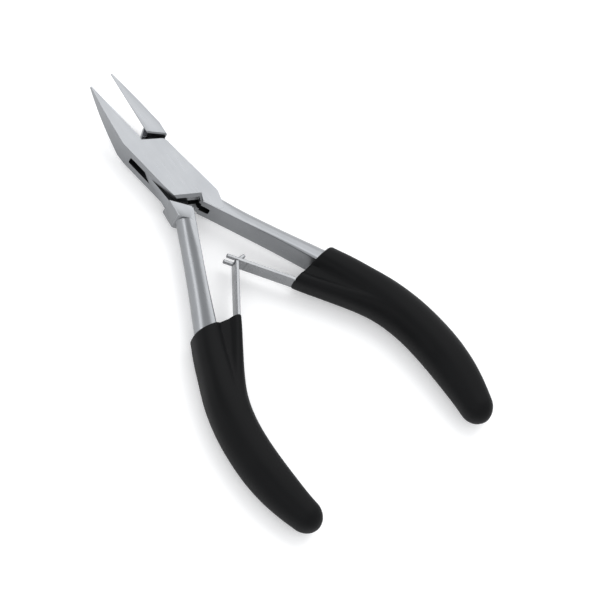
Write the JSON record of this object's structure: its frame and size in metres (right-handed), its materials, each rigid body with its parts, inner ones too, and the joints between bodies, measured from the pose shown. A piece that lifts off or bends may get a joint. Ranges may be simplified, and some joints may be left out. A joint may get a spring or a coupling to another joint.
{
  "type": "nail nipper",
  "caption": "Box-joint nail nipper with pointed jaws, bowed handles in dipped vinyl grips and interlocking leaf springs that hold it open.",
  "frame": {"origin": "where the hinge axis meets the flat underside of the box joint", "axes": "+X along the tool to the handle ends, +Y to the box half's handle, +Z along the hinge axis to the top face"},
  "size_m": [0.1239, 0.0692, 0.0107],
  "materials": {
    "satin_steel": "fine satin, ground flat on top",
    "spring_steel": "rolled strip",
    "black_vinyl": "dipped vinyl, satin"
  },
  "bodies": {
    "box_side": {"box_half": "satin_steel", "hinge_pin": "satin_steel", "box_leaf_rivet": "spring_steel", "box_grip": "black_vinyl"},
    "tongue_side": {"tongue_half": "satin_steel", "tongue_leaf_rivet": "spring_steel", "tongue_grip": "black_vinyl"},
    "box_spring": {"box_leaf": "spring_steel"},
    "tongue_spring": {"tongue_leaf": "spring_steel"}
  },
  "joints": [
    {"name": "pivot", "type": "hinge", "parent": "box_side", "child": "tongue_side", "pos_m": [0, 0, 0.00355], "axis": [0, 0, 1], "range_deg": [0, 13], "stiffness_Nm_per_rad": 3},
    {"name": "box_spring_flex", "type": "hinge", "parent": "box_side", "child": "box_spring", "pos_m": [0.0391, 0.00776, 0.00355], "axis": [0, 0, 1], "range_deg": [-15.8, 0], "deforming": ["box_leaf"]},
    {"name": "tongue_spring_flex", "type": "hinge", "parent": "tongue_side", "child": "tongue_spring", "pos_m": [0.0391, -0.00776, 0.00355], "axis": [0, 0, 1], "range_deg": [0, 15.8], "deforming": ["tongue_leaf"]}
  ],
  "couplings": [
    {"joint": "box_spring_flex", "follows": "pivot", "ratio": -1.21},
    {"joint": "tongue_spring_flex", "follows": "pivot", "ratio": 1.21}
  ]
}
